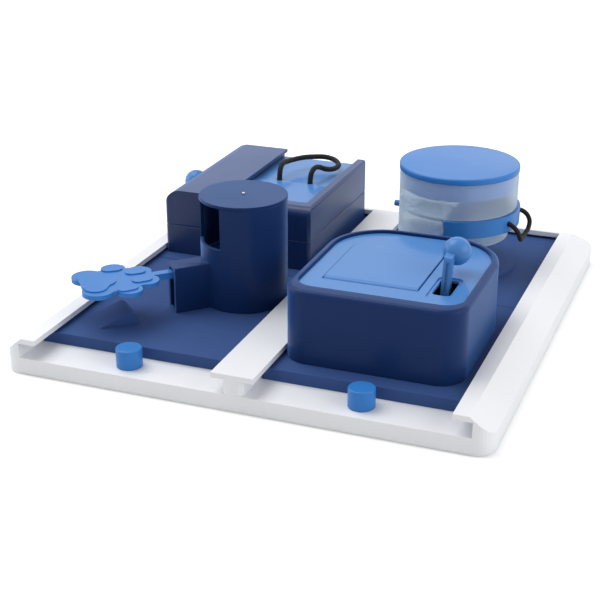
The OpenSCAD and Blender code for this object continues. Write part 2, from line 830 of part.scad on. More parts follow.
module tower_walls(slot_half, box_roof) {
    at_tower() difference() {
        union() {
            cylinder_from(tower_r, deck, tube_top);
            box([0, -lever_box_w / 2, deck], [lever_box_end, lever_box_w / 2, lever_box_top]);
        }
        cylinder_from(tower_in, deck - over, tube_top + over);
        box([0, -lever_box_in / 2, deck - over],
            [lever_box_end - lever_box_t, lever_box_in / 2, box_roof]);
        box([lever_box_end - 2 * lever_box_t, -slot_half, deck + 2],
            [lever_box_end + over, slot_half, box_roof]);
        rotate(window_turn) box([0, -window_w / 2, sill_h], [tower_r + over, window_w / 2, tube_top + over]);
        translate([pivot_s, 0, pivot_h]) rotate([90, 0, 0])
            cylinder(r = pin_d / 2 + pin_fit, h = lever_box_w - 2 * pin_skin, center = true);
    }
}

module tower_cap() {
    color(navy) at_tower() difference() {
        union() {
            translate([0, 0, tube_top]) cylinder(r = tower_r + cap_over, h = cap_t);
            tube(tower_in - 0.1, tower_in - 2, tube_top - 4, tube_top);
        }
        rotate(window_turn) box([0, -window_w / 2, tube_top - 4 - over], [tower_r, window_w / 2, tube_top]);
        translate([0, 0, tower_top - 0.5]) cylinder(d = 2.4, h = over);
    }
}

module lever_pin() {
    color(steel) at_tower() translate([pivot_s, 0, pivot_h]) rotate([90, 0, 0])
        cylinder(d = pin_d, h = lever_box_w - 2 * pin_skin - 0.4, center = true);
}

// Outline of the paw: one broad heel at the far end and four toes next to the stem
module paw_outline() {
    for (t = [-1, 1]) scale([1, t]) {
        translate(inner_toe) circle(inner_toe_r);
        translate(toe_web) circle(toe_web_r);
        translate(outer_toe) circle(outer_toe_r);
        translate(heel) circle(heel_r);
        polygon([[inner_toe[0], 0], inner_toe, outer_toe, heel, [heel[0], 0]]);
    }
    translate([palm_s, 0]) circle(palm_r);
}

module stadium(len, r) {
    bar([-len / 2 + r, 0], [len / 2 - r, 0], r);
}

module paw_pads() {
    for (t = [-1, 1]) {
        translate([outer_pad[0], t * outer_pad[1]]) rotate(t * 8) stadium(toe_pad_len, toe_pad_r);
        translate([inner_pad[0], t * inner_pad[1]]) rotate(t * 4) stadium(toe_pad_len, toe_pad_r);
        bar([heel_pad_s, 0], [heel_pad[0], t * heel_pad[1]], heel_pad_r);
    }
    bar([heel_pad[0], -heel_pad[1]], heel_pad, heel_pad_r);
    translate([heel_pad_s, 0]) circle(heel_pad_mid_r);
}

module paw_lever() {
    arm_z = pivot_h - arm_drop;
    paw_top = paw_under + paw_t;
    near = [pivot_s - arm_near, arm_z];
    far = [pivot_s - arm_far, arm_z];
    tip = [pivot_s - tip_in, pivot_h - tip_drop];
    stop_s = pivot_s + stop_arm;
    color(blue) at_tower() difference() {
        union() {
            translate([0, 0, paw_under]) linear_extrude(paw_t) paw_outline();
            translate([0, 0, paw_top]) linear_extrude(pad_t) paw_pads();
            box([pivot_s, -stem_w / 2, paw_top - stem_h], [inner_toe[0], stem_w / 2, paw_top]);
            along_y(-lever_box_in / 2 + 0.4, lever_box_in / 2 - 0.4)
                translate([pivot_s, pivot_h]) circle(lever_hub_r);
            along_y(-stem_w / 2, stem_w / 2) {
                bar([pivot_s, pivot_h], near, arm_bar_r);
                bar(near, far, arm_bar_r);
                bar([stop_s, pivot_h - stop_drop], [stop_s, pivot_h], stop_r);
            }
            along_y(-fork_w / 2, fork_w / 2) translate(far) circle(arm_bar_r);
            for (side = [-1, 1])
                along_y(side * (fork_gap + fork_w) / 4 - 2, side * (fork_gap + fork_w) / 4 + 2) {
                    bar(far, tip, arm_bar_r);
                    translate(tip) circle(tip_r);
                }
        }
        translate([pivot_s, 0, pivot_h]) rotate([90, 0, 0])
            cylinder(r = pin_d / 2 + pin_fit, h = lever_box_w, center = true);
    }
}

module lift_platform() {
    r = tower_in - platform_fit;
    color(blue) at_tower() difference() {
        union() {
            cylinder_from(post_d / 2, post_bottom, platform_z + 1);
            cylinder_from(hub_r, platform_z, platform_z + hub_h + 1);
            cylinder_from(r, platform_z + hub_h, platform_z + hub_h + platform_t);
            tube(r, r - 1.8, platform_z + hub_h + platform_t - over, platform_z + hub_h + platform_t + 3);
        }
        rotate(window_turn) box([0, -window_w / 2, platform_z + hub_h + platform_t],
            [tower_r, window_w / 2, platform_z + hub_h + platform_t + 4]);
    }
}

// ---- Flap box module -----------------------------------------------------

module flap_box_outline(inset) {
    rounded_pair(flap_box_w - 2 * inset, flap_box_d - 2 * inset, flap_box_rf - inset, flap_box_rb - inset);
}

// Outline of the opening for the inset top, grown or shrunk
module inset_outline(grow) {
    translate([0, (rim_front_w - rim_w) / 2])
        rounded_pair(flap_box_w - 2 * rim_w + 2 * grow, flap_box_d - rim_w - rim_front_w + 2 * grow,
                     flap_box_rf - rim_w + grow, flap_box_rb - rim_w + grow);
}

module lever_posts() {
    for (x = [ball_hub_x0 - 0.4 - post_t, ball_hub_x1 + 0.4])
        along_x(x, x + post_t) {
            translate([ball_y - 5, deck - over]) square([10, ball_pivot_h - deck + over]);
            translate([ball_y, ball_pivot_h]) circle(5);
        }
}

module flap_box_plate() {
    color(navy) difference() {
        union() {
            translate([plate_cx, front_cy, 0]) plate();
            lever_posts();
        }
        translate([0, ball_y, ball_pivot_h]) rotate([0, 90, 0])
            cylinder(r = pin_d / 2 + pin_fit, h = board_w, center = true);
        screw_bores(flap_box_screw_places);
    }
}

module flap_box_shell() {
    ledge_z = inset_z0 - 2.4;
    color(navy) difference() {
        union() {
            at_flap_box() difference() {
                translate([0, 0, deck]) linear_extrude(flap_box_top_h - deck) flap_box_outline(0);
                translate([0, 0, deck - over]) linear_extrude(flap_box_top_h - deck + 2 * over)
                    flap_box_outline(flap_box_t);
            }
            at_flap_box() translate([0, 0, ledge_z]) linear_extrude(flap_box_top_h - ledge_z) difference() {
                flap_box_outline(flap_box_t - 0.5);
                inset_outline(0);
            }
            at_flap_box() translate([0, 0, ledge_z]) linear_extrude(inset_z0 - ledge_z) difference() {
                flap_box_outline(flap_box_t - 0.5);
                inset_outline(-2);
            }
            bosses(flap_box_screw_places);
        }
        screw_bores(flap_box_screw_places);
    }
}

// Outline of the flap, square at its hinge and round at its free end
module flap_outline(grow) {
    r = flap_w / 2 + grow;
    translate([flap_x0 - grow, flap_y0 - grow]) square([2 * r, flap_d + 2 * grow - r]);
    translate([flap_x0 - grow + r, flap_y0 + flap_d + grow - r]) circle(r);
}

// Outline of the recess round the slot, about the middle line of its front edge
module slot_recess() {
    translate([0, slot_len / 2]) rounded(slot_w, slot_len, slot_r);
}

module slot_hole() {
    len = slot_len - slot_step - slot_edge;
    translate([0, slot_step + len / 2]) rounded(slot_w - 2 * slot_edge, len, slot_r - slot_edge / 2);
}

module flap_box_top() {
    lug_z = inset_z0 - 3;
    color(sky) difference() {
        union() {
            at_flap_box() translate([0, 0, inset_z0]) linear_extrude(inset_t) inset_outline(-0.2);
            for (x = [flap_x0 - flap_gap - lug_w, flap_x1 + flap_gap])
                box([x, flap_axis_y - 3, lug_z], [x + lug_w, flap_axis_y + 3, inset_z0 + 0.5]);
        }
        translate([0, 0, inset_z0 - over]) linear_extrude(inset_t + 2 * over) flap_outline(flap_gap);
        translate([slot_x, slot_y0, inset_z1 - slot_sink]) linear_extrude(slot_sink + over) slot_recess();
        translate([slot_x, slot_y0, inset_z0 - over]) linear_extrude(inset_t + 2 * over) slot_hole();
        translate([(flap_x0 + flap_x1) / 2, flap_axis_y, flap_z0]) rotate([0, 90, 0])
            cylinder(r = flap_pin_r + pin_fit, h = flap_w + 2 * (flap_gap + lug_w) - 1.6, center = true);
    }
}

module flap() {
    color(sky) difference() {
        union() {
            translate([0, 0, flap_z0]) linear_extrude(flap_t) intersection() {
                flap_outline(0);
                translate([flap_x0, flap_axis_y]) square([flap_w, flap_d]);
            }
            along_x(flap_x0, flap_x1) translate([flap_axis_y, flap_z0]) circle(flap_t);
        }
        translate([0, flap_axis_y, flap_z0]) rotate([0, 90, 0])
            cylinder(r = flap_pin_r + pin_fit, h = board_w, center = true);
    }
}

module flap_pin() {
    color(steel) translate([(flap_x0 + flap_x1) / 2, flap_axis_y, flap_z0]) rotate([0, 90, 0])
        cylinder(r = flap_pin_r, h = flap_w + 2 * (flap_gap + lug_w) - 2, center = true);
}

module ball_lever() {
    ball = [ball_reach, ball_rise];
    groove = 1.6;
    lean = atan2(arm_top[1] - arm_knee[1], arm_top[0] - arm_knee[0]);
    color(sky) translate([0, ball_y, ball_pivot_h]) difference() {
        union() {
            along_x(arm_x - arm_w / 2, arm_x + arm_w / 2) {
                bar([0, 0], arm_knee, arm_t / 2);
                bar(arm_knee, arm_top, arm_t / 2);
                bar(arm_top, ball, arm_t / 2);
            }
            translate([slot_x, ball[0], ball[1]]) sphere(d = ball_d);
            along_x(ball_hub_x0, ball_hub_x1) circle(ball_hub_r);
            along_x(finger_x0, finger_x1) {
                bar([0, 0], finger_bend, finger_r);
                bar(finger_bend, finger_tip, finger_r);
            }
        }
        rotate([0, 90, 0]) cylinder(r = pin_d / 2 + pin_fit, h = board_w, center = true);
        along_x(arm_x - groove / 2, arm_x + groove / 2) translate(arm_knee) rotate(lean)
            translate([3, arm_t / 2 - 0.8]) square([norm(arm_top - arm_knee) - 5, over + 1]);
    }
}

module ball_lever_pin() {
    x0 = ball_hub_x0 - 0.4 - post_t;
    x1 = ball_hub_x1 + 0.4 + post_t;
    color(steel) translate([x0 + 0.2, ball_y, ball_pivot_h]) rotate([0, 90, 0])
        cylinder(d = pin_d, h = x1 - x0 - 0.4);
}

module treat_cup() {
    w = cup_x1 - cup_x0;
    d = cup_y1 - cup_y0;
    color(navy) translate([(cup_x0 + cup_x1) / 2, (cup_y0 + cup_y1) / 2, 0]) difference() {
        translate([0, 0, deck]) linear_extrude(cup_h - deck) rounded(w, d, 6);
        translate([0, 0, cup_floor]) linear_extrude(cup_h - cup_floor + over)
            rounded(w - 2 * cup_t, d - 2 * cup_t, 6 - cup_t);
        translate([0, 0, deck - over]) linear_extrude(cup_floor - cup_t - deck + over)
            rounded(w - 2 * cup_t, d - 2 * cup_t, 6 - cup_t);
    }
}

// ---- Drawer box module ---------------------------------------------------

module drawer_box_plate() {
    color(navy) difference() {
        translate([-plate_cx, rear_cy, 0]) plate();
        screw_bores(drawer_box_screw_places);
    }
}

module drawer_box_base() {
    color(navy) difference() {
        union() {
            translate([drawer_box_x, drawer_box_y, 0]) difference() {
                translate([0, 0, deck]) linear_extrude(seam_h - deck)
                    rounded(drawer_box_w, drawer_box_d, box_corner_r);
                translate([0, 0, deck - over]) linear_extrude(seam_h - deck - deck_t + over)
                    rounded(drawer_box_w - 2 * drawer_box_t, drawer_box_d - 2 * drawer_box_t, 1);
            }
            bosses(drawer_box_screw_places);
        }
        screw_bores(drawer_box_screw_places);
    }
}

// Cross-section of the cover's outside, in X and Z
module cover_section() {
    x0 = drawer_box_x0;
    top = drawer_box_top_h;
    square_to_top = [[x0, seam_h], [cover_x1, seam_h], [cover_x1, top], [x0 + cover_r, top],
                     [x0 + cover_r, top - cover_r], [x0, top - cover_r]];
    polygon(square_to_top);
    translate([x0 + cover_r, top - cover_r]) circle(cover_r);
    // right part, with its wall's top edge rounded
    right_w = drawer_box_x1 - cover_x1 + over;
    translate([cover_x1 - over, seam_h]) {
        square([right_w - wall_soft, side_top - seam_h]);
        square([right_w, side_top - wall_soft - seam_h]);
        translate([right_w - wall_soft, side_top - wall_soft - seam_h]) circle(wall_soft);
    }
}

// Space of the drawer's bay, in X and Z
module drawer_bay_section() {
    x0 = drawer_box_x0 + drawer_box_t;
    x1 = divider_x - divider_t;
    top = drawer_box_top_h - cover_t;
    r = cover_r - drawer_box_t;
    polygon([[x0, seam_h - over], [x1, seam_h - over], [x1, top], [x0 + r, top],
             [x0 + r, top - r], [x0, top - r]]);
    translate([x0 + r, top - r]) circle(r);
}

module drawer_box_cover() {
    y0 = drawer_box_y0;
    y1 = drawer_box_y1;
    wall = drawer_box_t;
    color(navy) difference() {
        intersection() {
            along_y(y0, y1) cover_section();
            translate([drawer_box_x, drawer_box_y, seam_h]) linear_extrude(drawer_box_top_h - seam_h)
                rounded(drawer_box_w, drawer_box_d, box_corner_r);
        }
        along_y(y0 + wall, y1 - wall) drawer_bay_section();
        // treat bay under the sliding lid, with a ledge left for the lid on both sides
        box([divider_x + 3, y0 + lid_front + 2, seam_h - over],
            [drawer_box_x1 - wall - 3, y1 - wall, lid_z0 + over]);
        // hollow of the strip in front of the lid
        box([divider_x + 3, y0 + wall, seam_h - over],
            [drawer_box_x1 - wall - 3, y0 + lid_front, side_top - 4]);
        // track of the sliding lid, open to the back
        box([divider_x, lid_y0 - slide_fit, lid_z0 - slide_fit],
            [drawer_box_x1 - wall, y1 + over, lid_top_h + slide_fit]);
        box([divider_x, lid_y0 - slide_fit, lid_z0],
            [cover_x1, y1 + over, drawer_box_top_h - cover_t]);
        box([cover_x1, lid_y0 - slide_fit, lid_z0],
            [drawer_box_x1 - wall - lid_lip, y1 + over, drawer_box_top_h + over]);
        // opening of the side drawer
        box([drawer_box_x0 - over, drawer_y0 - slide_fit, seam_h - over],
            [drawer_box_x0 + wall + over, drawer_y1 + slide_fit, drawer_z0 + drawer_h + slide_fit]);
        // slope of the strip in front of the lid
        translate([0, y0, side_top]) along_x(cover_x1, drawer_box_x1 + over) strip_round();
    }
}

// Cutter that rounds a front top edge, in Y and Z from that edge
module strip_round() {
    r = 7;
    difference() {
        translate([-over, -r]) square([r + over, r + over]);
        translate([r, -r]) circle(r);
    }
}

module lid_rope_places() {
    for (x = [-1, 1]) translate([lid_cx + x * lid_rope_gap / 2, lid_rope_cy, 0]) children();
}

module sliding_lid() {
    step = 0.7;
    color(sky) difference() {
        union() {
            box([lid_x0, lid_y0, lid_z0], [lid_x1, drawer_box_y1 - 0.5, lid_top_h - step]);
            box([cover_x1 - 1.5, lid_y0, lid_z0], [lid_x1 - lid_lip - 0.5, lid_rope_cy - 6, lid_top_h]);
        }
        lid_rope_places() translate([0, 0, lid_z0 - over]) cylinder(r = rope_hole_r, h = lid_t + 2 * over);
    }
}

module lid_rope() {
    color(black) translate([lid_cx, lid_rope_cy, lid_top_h])
        cord(lid_rope_route, rope_d / 2, 10, 3, [1, 0, 0]);
}

module lid_rope_knots() {
    color(black) lid_rope_places() translate([0, 0, lid_z0 - knot_h]) rotate_extrude()
        intersection() {
            translate([0, knot_h / 2]) circle(knot_r);
            square([knot_r, knot_h]);
        }
}

module side_drawer() {
    front_t = 3;
    x0 = drawer_box_x0;
    color(sky) difference() {
        box([x0, drawer_y0, drawer_z0], [drawer_x1, drawer_y1, drawer_z0 + drawer_h]);
        box([x0 + front_t, drawer_y0 + drawer_t, drawer_z0 + drawer_t],
            [drawer_x1 - drawer_t, drawer_y1 - drawer_t, drawer_z0 + drawer_h + over]);
    }
}

module drawer_knob() {
    cy = (drawer_y0 + drawer_y1) / 2;
    cx = drawer_box_x0 - knob_neck - ball_d / 2 + 1;
    color(sky) {
        translate([cx, cy, knob_z]) sphere(d = ball_d);
        translate([cx, cy, knob_z]) rotate([0, 90, 0])
            cylinder(r = knob_neck_r, h = drawer_box_x0 - cx);
    }
}

// ---- Drum module ---------------------------------------------------------

module drum_plate() {
    color(navy) difference() {
        union() {
            translate([plate_cx, rear_cy, 0]) plate();
            at_drum() cylinder_from(drum_disc_r, deck - over, drum_z0);
        }
        screw_bores(drum_screw_places);
    }
}

module drum_shell() {
    tube(drum_r, drum_in, drum_z0, drum_h);
    // fixed floor of the upper chamber, over the half without the tray
    translate([0, 0, tray_top - drum_floor_t]) linear_extrude(drum_floor_t)
        mirror([1, 0, 0]) half_disc(drum_r - 0.5);
    // sleeve that guides the push rod
    translate([-drum_in - 0.5, 0, rod_z]) rotate([0, 90, 0])
        cylinder(r = rod_d / 2 + slide_fit + sleeve_t, h = sleeve_len);
}

// Skirt under the tray: a cone and a short narrower wall, open below
module foot_skirt() {
    rotate_extrude() polygon([
        [drum_foot_r - drum_t, foot_low], [drum_foot_r, foot_low],
        [drum_foot_r, tray_z - cone_h], [drum_r, tray_z - 0.3], [drum_r - 0.6, tray_z - 0.3],
        [drum_r - drum_t, tray_z - 1.5], [drum_foot_r - drum_t, tray_z - cone_h - 0.6]]);
}

module right_half() {
    intersection() {
        children();
        box([0, -drum_r * 2, 0], [drum_r * 2, drum_r * 2, drum_h * 2]);
    }
}

// Flat walls where the drum's full wall ends and the narrower foot begins
module foot_jambs() {
    intersection() {
        cylinder_from(drum_r, drum_z0, tray_z - 0.4);
        for (side = [0, 1])
            mirror([0, side, 0]) box([0, drum_foot_r - drum_t, drum_z0], [drum_t, drum_r * 2, tray_z]);
    }
}

module drum_body() {
    color(frosted) difference() {
        union() {
            at_drum() drum_walls();
            bosses(drum_screw_places, drum_z0);
        }
        screw_bores(drum_screw_places);
    }
}

module drum_walls() {
    difference() {
        union() {
            difference() {
                drum_shell();
                // slot that the tray slides in, and the open side below it
                box([0, -drum_r * 2, deck], [drum_r * 2, drum_r * 2, tray_top + slide_fit]);
            }
            right_half() foot_skirt();
            foot_jambs();
        }
        translate([-drum_r * 2, 0, rod_z]) rotate([0, 90, 0])
            cylinder(r = rod_d / 2 + slide_fit, h = drum_r * 2.6);
    }
}

module drum_lid() {
    soft = 1.2;
    color(blue) at_drum() {
        translate([0, 0, drum_lid_z]) rotate_extrude() {
            square([drum_lid_r, drum_lid_t - soft]);
            square([drum_lid_r - soft, drum_lid_t]);
            translate([drum_lid_r - soft, drum_lid_t - soft]) circle(soft);
        }
        tube(plug_r, plug_r - drum_t, drum_lid_z - plug_d, drum_lid_z + 0.5);
    }
}

module drum_tray() {
    inner_r = tray_r - tray_t;
    back = tray_x0 - drum_x;
    color(blue) at_drum() difference() {
        union() {
            translate([0, 0, tray_z]) linear_extrude(tray_t) half_disc(tray_r, back);
            translate([0, 0, tray_z]) linear_extrude(tray_h) difference() {
                half_disc(tray_r, back);
                half_disc(inner_r, back + tray_t);
            }
            translate([-drum_r - rod_out, 0, rod_z]) rotate([0, 90, 0])
                cylinder(d = rod_d, h = drum_r + rod_out + back + 0.5);
        }
        for (side = [-1, 1]) rotate(side * tray_rope_angle)
            translate([drum_foot_r, 0, tray_z + tray_h / 2]) rotate([0, 90, 0])
                cylinder(r = tray_hole_r, h = tray_r);
    }
}

module tray_rope() {
    color(black) at_drum() translate([0, 0, tray_z + tray_h / 2])
        cord(tray_rope_route, tray_rope_d / 2, 10, 3, [0, 0, 1]);
}

module tray_rope_knots() {
    knot_in = tray_r - tray_t - 0.4;
    color(black) at_drum() for (side = [-1, 1])
        rotate(side * tray_rope_angle) translate([knot_in - knot_h, 0, tray_z + tray_h / 2])
            rotate([0, 90, 0]) rotate_extrude() intersection() {
                translate([0, knot_h / 2]) circle(knot_r);
                square([knot_r, knot_h]);
            }
}

base_tray();
floor_ribs();
rubber_feet();
lock_peg_left();
lock_peg_right();
tower_plate();
tower_shell();
tower_cap();
lever_pin();
paw_lever();
lift_platform();
flap_box_plate();
flap_box_shell();
flap_box_top();
flap();
flap_pin();
ball_lever();
ball_lever_pin();
treat_cup();
drawer_box_plate();
drawer_box_base();
drawer_box_cover();
sliding_lid();
lid_rope();
lid_rope_knots();
side_drawer();
drawer_knob();
drum_plate();
drum_body();
drum_lid();
drum_tray();
tray_rope();
tray_rope_knots();
tower_screws();
flap_box_screws();
drawer_box_screws();
drum_screws();
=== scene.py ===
# %% [markdown]
# # A dog puzzle feeder
# The object is a white board with grooved rails. Four plates slide in the grooves, and each
# carries a treat module: a tower with a paw lever, a round-cornered box with a flap, a box
# with a sliding lid and a drawer, and a frosted drum with a pull-out tray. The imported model
# gives every part its place. This notebook dresses it: soft edges, moulded plastic, braided
# cord and studio light.

import json
import math

import bmesh
import bpy
from mathutils import Matrix, Vector


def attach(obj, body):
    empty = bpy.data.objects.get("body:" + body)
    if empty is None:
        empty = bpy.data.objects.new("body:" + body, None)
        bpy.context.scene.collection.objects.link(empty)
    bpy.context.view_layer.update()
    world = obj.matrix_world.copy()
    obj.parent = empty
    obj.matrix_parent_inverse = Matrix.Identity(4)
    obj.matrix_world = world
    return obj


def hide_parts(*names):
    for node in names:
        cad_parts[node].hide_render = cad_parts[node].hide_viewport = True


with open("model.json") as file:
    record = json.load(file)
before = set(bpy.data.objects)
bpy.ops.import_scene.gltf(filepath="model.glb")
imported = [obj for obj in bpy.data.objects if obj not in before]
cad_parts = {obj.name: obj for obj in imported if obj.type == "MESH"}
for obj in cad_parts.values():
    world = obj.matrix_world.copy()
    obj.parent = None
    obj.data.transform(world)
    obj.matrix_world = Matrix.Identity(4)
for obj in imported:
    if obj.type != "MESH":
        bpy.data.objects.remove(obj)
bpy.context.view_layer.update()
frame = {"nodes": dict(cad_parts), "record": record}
node_objects = frame["nodes"]
scene = bpy.context.scene
scene.view_settings.view_transform = "Standard"


def short(values):
    return [round(value, 4) for value in values]


# %% [markdown]
# ## Camera
# A long lens from the front right, a little above the board. A helper could fit the object
# into the view, but the place was solved from the board's edges, so the camera is written as
# numbers. The lens is given for a square frame of 600 x 600 on a sensor 36 mm wide.

# %% Make the camera
VIEW_AZIMUTH = 20.99
VIEW_ELEVATION = 23.07
VIEW_DISTANCE = 0.9699
VIEW_TARGET = Vector((-0.0241, 0.0108, 0.0))
SENSOR_WIDTH = 36
LENS = 80.31
CLIP_START, CLIP_END = 0.05, 20
azimuth, elevation = math.radians(VIEW_AZIMUTH), math.radians(VIEW_ELEVATION)
backwards = Vector((math.sin(azimuth) * math.cos(elevation),
                    -math.cos(azimuth) * math.cos(elevation),
                    math.sin(elevation)))
camera = bpy.data.objects.new("camera", bpy.data.cameras.new("camera"))
scene.collection.objects.link(camera)
camera.location = VIEW_TARGET + backwards * VIEW_DISTANCE
camera.rotation_mode = "QUATERNION"
camera.rotation_quaternion = (-backwards).to_track_quat("-Z", "Y")
camera.data.sensor_width = SENSOR_WIDTH
camera.data.lens = LENS
camera.data.clip_start, camera.data.clip_end = CLIP_START, CLIP_END
scene.camera = camera
print("camera at", short(camera.location), "lens", camera.data.lens)

# %% [markdown]
# ## Pull cords
# Two loops of black braided cord are the grips of the sliding lid and of the drum's tray. A
# curve with a round bevel would make such a tube, but a mesh gives the braid a clean map. So
# a cord is a ring that is extruded along a smooth route, turned at each step by as little as
# possible so that the braid doesn't twist. While it grows, each vertex keeps how far it has
# run and where it sits round the cord, which becomes the UV map that the braid's pattern
# follows.

# %% Smooth the two routes
MM = 0.001


def smooth_route(route, origin, steps=4):
    """A Catmull-Rom curve through points in millimetres, with a few steps between them."""
    points = [Vector(p) * MM + Vector(origin) * MM for p in route]
    padded = [points[0]] + points + [points[-1]]
    path = []
    for i in range(len(points) - 1):
        a, b, c, d = padded[i:i + 4]
        for k in range(steps):
            t = k / steps
            path.append(0.5 * (2 * b + (c - a) * t + (2 * a - 5 * b + 4 * c - d) * t * t
                               + (3 * b - a - 3 * c + d) * t * t * t))
    return path + [points[-1]]


def path_length(path):
    return sum((b - a).length for a, b in zip(path, path[1:]))


LID_ROPE_RADIUS = 2.0 * MM
LID_ROPE_ORIGIN = (-58.45, 89.05, 63.0)
LID_ROPE_ROUTE = [(-12.5, 0, -3.6), (-12.5, 0, -0.5), (-12.7, 1.8, 6), (-12.9, 5.5, 9.3),
                  (-13.1, 10.6, 9.9), (-12.5, 17.1, 9), (-9.9, 25.1, 8.6), (-4.9, 33.2, 8.4),
                  (1.7, 39.8, 7.8), (9.6, 43.2, 7.4), (18, 41.6, 6.2), (23.2, 35, 4.6),
                  (22.4, 26.2, 4.2), (18.9, 18.4, 5.8), (15.5, 11.8, 9), (13.9, 6.1, 9.5),
                  (12.8, 1.8, 6.3), (12.5, 0, -0.5), (12.5, 0, -3.6)]
TRAY_ROPE_RADIUS = 1.7 * MM
TRAY_ROPE_ORIGIN = (72.5, 78.975, 59.0)
TRAY_ROPE_ROUTE = [(38.3, -15.5, 0), (41.4, -16.7, 0), (44.9, -17.6, -1.3), (47.8, -17.6, -4),
                   (49.5, -16.2, -7.9), (49.7, -12.3, -12), (49.2, -6.5, -14), (49, 0, -14.6),
                   (49.2, 6.5, -14), (50, 12.3, -12), (50, 16.1, -7.8), (48, 17.6, -4),
                   (44.9, 17.6, -1.3), (41.4, 16.7, 0), (38.3, 15.5, 0)]
lid_rope_path = smooth_route(LID_ROPE_ROUTE, LID_ROPE_ORIGIN)
tray_rope_path = smooth_route(TRAY_ROPE_ROUTE, TRAY_ROPE_ORIGIN)
print("cord lengths:", short((path_length(lid_rope_path), path_length(tray_rope_path))))


# %% Rings square to a route
def rings_along(path):
    """A matrix for each point of the path that puts a flat ring square to the path."""
    before, after = [path[0]] + path[:-1], path[1:] + [path[-1]]
    tangents = [(b - a).normalized() for a, b in zip(before, after)]
    side = tangents[0].orthogonal().normalized()
    frames = []
    for point, tangent in zip(path, tangents):
        side = (side - tangent * side.dot(tangent)).normalized()
        turned = Matrix((side, tangent.cross(side), tangent)).transposed().to_4x4()
        frames.append(Matrix.Translation(point) @ turned)
    return frames


print("rings:", len(rings_along(lid_rope_path)), len(rings_along(tray_rope_path)))

# %% Extrude a cord along its route
CORD_SIDES = 16
CORD_SHARP_ANGLE = 60
CORD_PER_V = 0.01  # metres of cord for each unit of the UV map's V


def finish_mesh(bm, name, sharp_angle=30):
    """An object from a bmesh, smooth but for the edges sharper than an angle in degrees."""
    mesh = bpy.data.meshes.new(name)
    bm.to_mesh(mesh)
    bm.free()
    mesh.shade_smooth()
    mesh.set_sharp_from_angle(angle=math.radians(sharp_angle))
    piece = bpy.data.objects.new(name, mesh)
    scene.collection.objects.link(piece)
    return piece


def map_cord(bm, turn, run):
    """U goes once round the cord and V along it; the faces at the seam end at 1, not at 0."""
    uv = bm.loops.layers.uv.new("UVMap")
    for face in bm.faces:
        turns = [loop.vert[turn] for loop in face.loops]
        across_seam = max(turns) - min(turns) > 0.5
        for loop in face.loops:
            u = loop.vert[turn]
            if across_seam and u < 0.5:
                u += 1.0
            loop[uv].uv = (u, loop.vert[run] / CORD_PER_V)


def make_cord(name, path, radius):
    bm = bmesh.new()
    turn = bm.verts.layers.float.new("turn")
    run = bm.verts.layers.float.new("run")
    frames = rings_along(path)
    ring = bmesh.ops.create_circle(bm, segments=CORD_SIDES, radius=radius)["verts"]
    for i, vert in enumerate(ring):
        vert[turn] = i / CORD_SIDES
    bmesh.ops.transform(bm, matrix=frames[0], verts=ring)
    edges, travelled = list(bm.edges), 0.0
    for i in range(1, len(path)):
        grown = bmesh.ops.extrude_edge_only(bm, edges=edges)["geom"]
        verts = [g for g in grown if isinstance(g, bmesh.types.BMVert)]
        edges = [g for g in grown if isinstance(g, bmesh.types.BMEdge)]
        travelled += (path[i] - path[i - 1]).length
        bmesh.ops.transform(bm, matrix=frames[i] @ frames[i - 1].inverted(), verts=verts)
        for vert in verts:
            vert[run] = travelled
    map_cord(bm, turn, run)
    ends = [edge for edge in bm.edges if edge.is_boundary]
    bmesh.ops.holes_fill(bm, edges=ends, sides=CORD_SIDES)
    bmesh.ops.recalc_face_normals(bm, faces=bm.faces)
    return finish_mesh(bm, name, CORD_SHARP_ANGLE)


lid_cord = make_cord("lid_cord", lid_rope_path, LID_ROPE_RADIUS)
tray_cord = make_cord("tray_cord", tray_rope_path, TRAY_ROPE_RADIUS)
print("cord faces:", len(lid_cord.data.polygons), len(tray_cord.data.polygons))

for cord, node, body, path, radius in (
        (lid_cord, "lid_rope", "lid", lid_rope_path, LID_ROPE_RADIUS),
        (tray_cord, "tray_rope", "tray", tray_rope_path, TRAY_ROPE_RADIUS)):
    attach(cord, body)
    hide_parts(node)
    print(cord.name, "stands for", node, "on", body)

# %% [markdown]
# ## Soft edges
# Moulded plastic has no knife edges: every corner has a small radius that catches a thin
# line of light. Picking each edge by hand would be exact but slow, so a Bevel modifier does
# most of it. Each hard part is merged from its loose triangles, its flat faces are joined to
# single faces, and the modifier rounds each edge sharper than a set angle. Hardened normals
# keep the large faces flat in the light.
#
# Three kinds of edge get a bevel in the mesh first: the outer rim of the flap box, which is
# rounded more than the rest, the line where the two halves of the drawer box meet, which
# draws the seam, and the level edges of the drum's lid, where the modifier alone leaves next
# to nothing.

# %% Edges that are bevelled first
# Height of the outer edge and width of its bevel in millimetres, then the segments
OUTER_EDGES = {
    "flap_box_shell": (68.0, 3.2, 6),
    "drawer_box_cover": (41.5, 0.7, 2),
    "drawer_box_base": (41.5, 0.7, 2),
}
LEVEL_FIRST = {"drum_lid"}
SAME_HEIGHT = 0.01 * MM
# How far a face's normal points up or down: 0 for an upright wall and 1 for a level face
WALL_RISE, STEEP_RISE, LEVEL_RISE = 0.1, 0.2, 0.98
CONVEX_ANGLE = 0.5  # radians


def outer_edges(bm, height):
    """The edges at a height whose wall faces away from the middle."""
    middle = sum((vert.co for vert in bm.verts), Vector()) / len(bm.verts)
    return [edge for edge in bm.edges
            if all(abs(vert.co.z - height * MM) < SAME_HEIGHT for vert in edge.verts)
            and any(abs(face.normal.z) < WALL_RISE
                    and face.normal.xy.dot((edge.verts[0].co - middle).xy) > 0
                    for face in edge.link_faces)]


